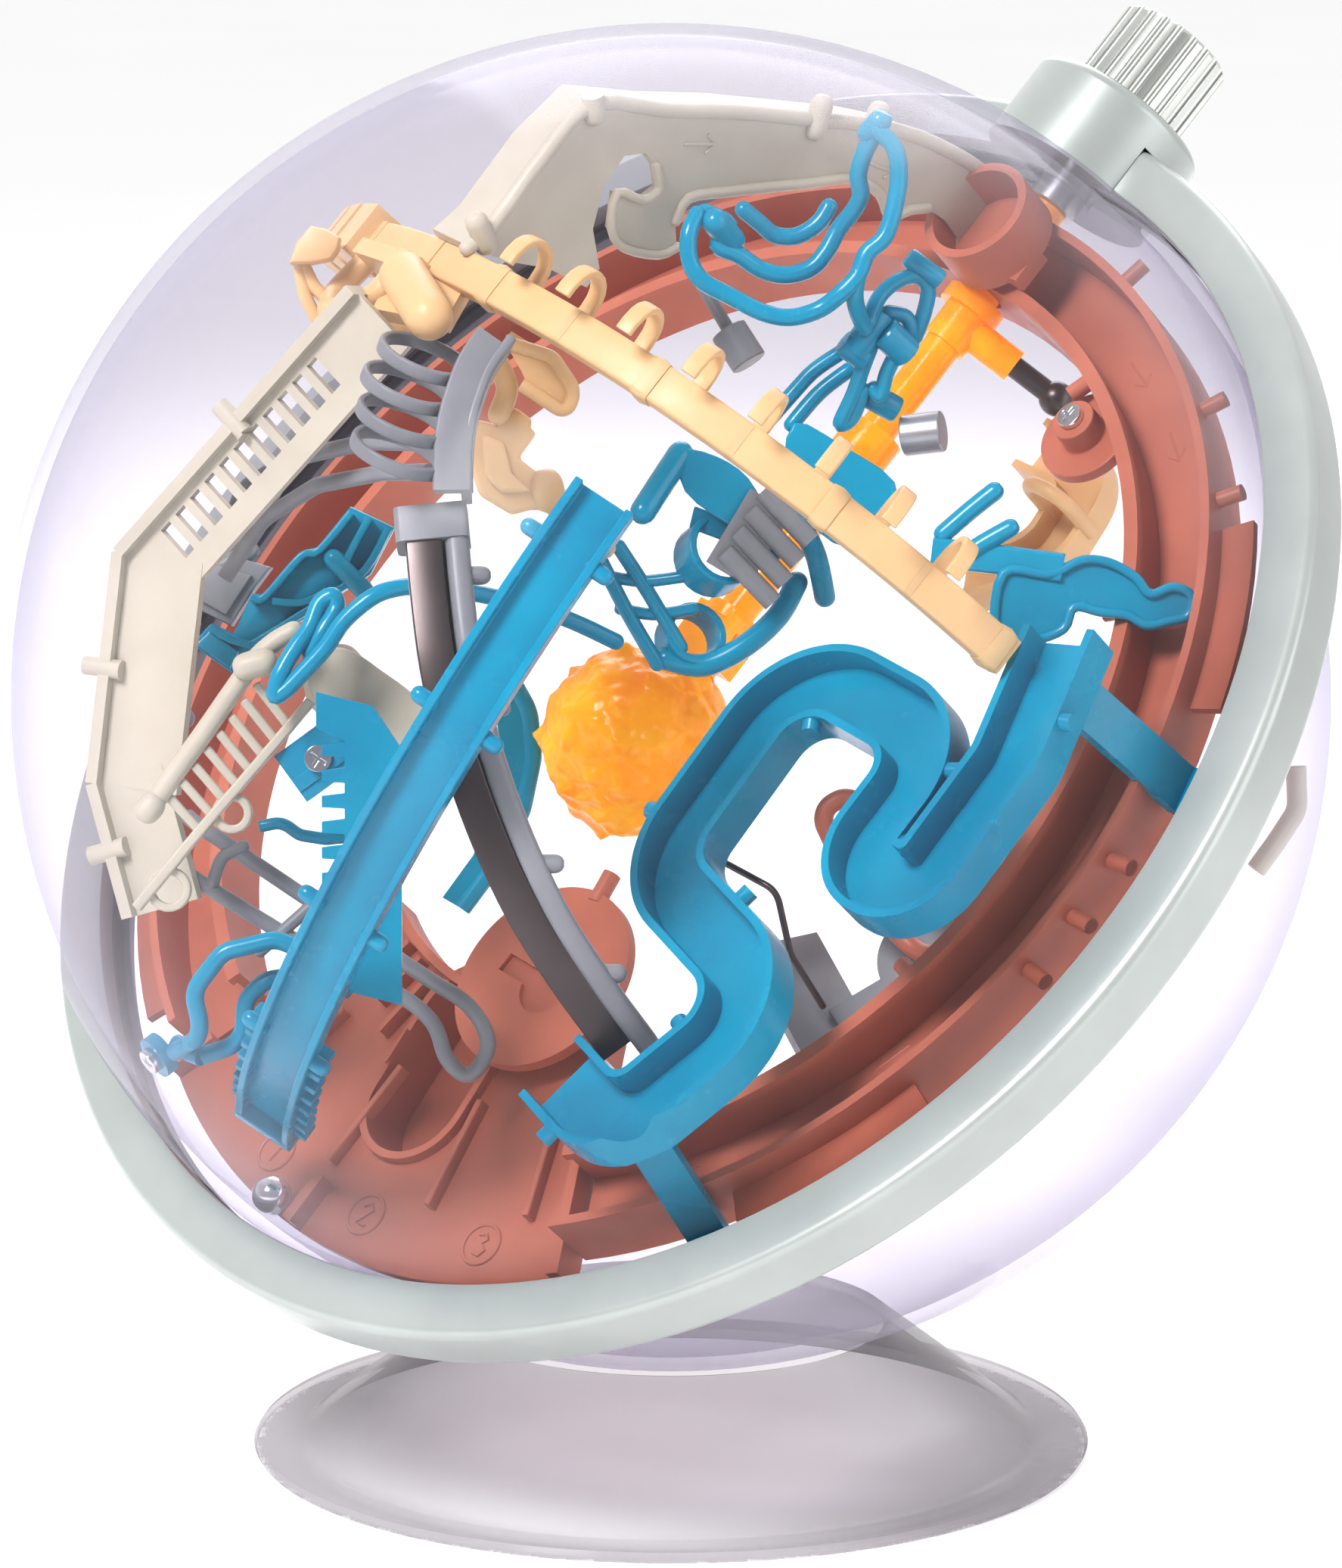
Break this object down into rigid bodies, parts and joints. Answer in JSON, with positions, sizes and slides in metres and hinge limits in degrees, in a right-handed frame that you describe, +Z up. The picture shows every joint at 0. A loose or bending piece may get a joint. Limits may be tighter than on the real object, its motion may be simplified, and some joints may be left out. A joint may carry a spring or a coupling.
{
  "type": "tilt maze game",
  "caption": "Clear globe ball maze: a banded two-piece sphere holding coloured tracks, a dial with an amber shaft and a steel ball, on a clear flared stand.",
  "frame": {"origin": "centre of the stand's underside, on the floor below the globe's centre", "axes": "+Z up, +X to the side that the dial leans towards, the band's open face towards -X and -Y"},
  "size_m": [0.2, 0.2, 0.2154],
  "materials": {
    "clear": "clear, polished",
    "stand_clear": "clear, lilac tint",
    "band_paint": "satin metallic paint",
    "knob_metal": "satin",
    "amber": "translucent",
    "dark_steel": "brushed",
    "terracotta": "satin moulded",
    "blue": "glossy moulded",
    "cream": "satin moulded",
    "sand": "satin moulded",
    "cool_grey": "satin moulded",
    "bright_steel": "polished"
  },
  "bodies": {
    "stand": {"stand": "stand_clear"},
    "dial": {"knob": "knob_metal", "amber_shaft": "amber", "boulder": "amber", "crank_pin": "dark_steel"},
    "ball": {"steel_ball": "bright_steel"},
    "globe": {"front_shell": "clear", "rear_shell": "clear", "band": "band_paint", "dial_housing": "band_paint", "slide_strip": "dark_steel", "dark_wire": "dark_steel", "main_ring": "terracotta", "start_platform": "terracotta", "keyhole_disc": "terracotta", "dial_cup": "terracotta", "screw_boss": "terracotta", "loop_frame": "terracotta", "serpentine_track": "blue", "long_channel": "blue", "comb_panel": "blue", "top_loops": "blue", "ring_cage": "blue", "centre_bracket": "blue", "left_bracket": "blue", "curl_wire": "blue", "platform_arches": "blue", "right_tongue": "blue", "screw_tab": "blue", "back_scoop": "blue", "twist_wire": "blue", "arc_rail": "cream", "crest": "cream", "crest_tray": "cream", "crest_tongue": "cream", "crest_loop": "cream", "cream_clips": "cream", "back_curve": "cream", "ladder_track": "sand", "small_ladder": "sand", "top_arc_track": "sand", "sand_arm": "sand", "rear_hook": "sand", "slide_rail": "cool_grey", "drop_hoops": "cool_grey", "twin_rods": "cool_grey", "arc_wires": "cool_grey", "left_housing": "cool_grey", "rear_panel": "cool_grey", "grey_link": "cool_grey", "post_cap": "cool_grey", "silver_cap": "bright_steel", "screws": "bright_steel"}
  },
  "joints": [
    {"name": "globe_tilt", "type": "hinge", "parent": "stand", "child": "globe", "pos_m": [0, 0, 0.1143], "axis": [0.7539, -0.657, 0], "range_deg": [-100, 9]},
    {"name": "dial_turn", "type": "hinge", "parent": "globe", "child": "dial", "pos_m": [0, 0, 0.1143], "axis": [0.6047, 0.2744, 0.7477], "continuous": true},
    {"name": "ball_roll", "type": "hinge", "parent": "globe", "child": "ball", "pos_m": [0, 0, 0.1143], "axis": [-0.511, -0.5864, 0.6285], "range_deg": [-19, 0]}
  ]
}
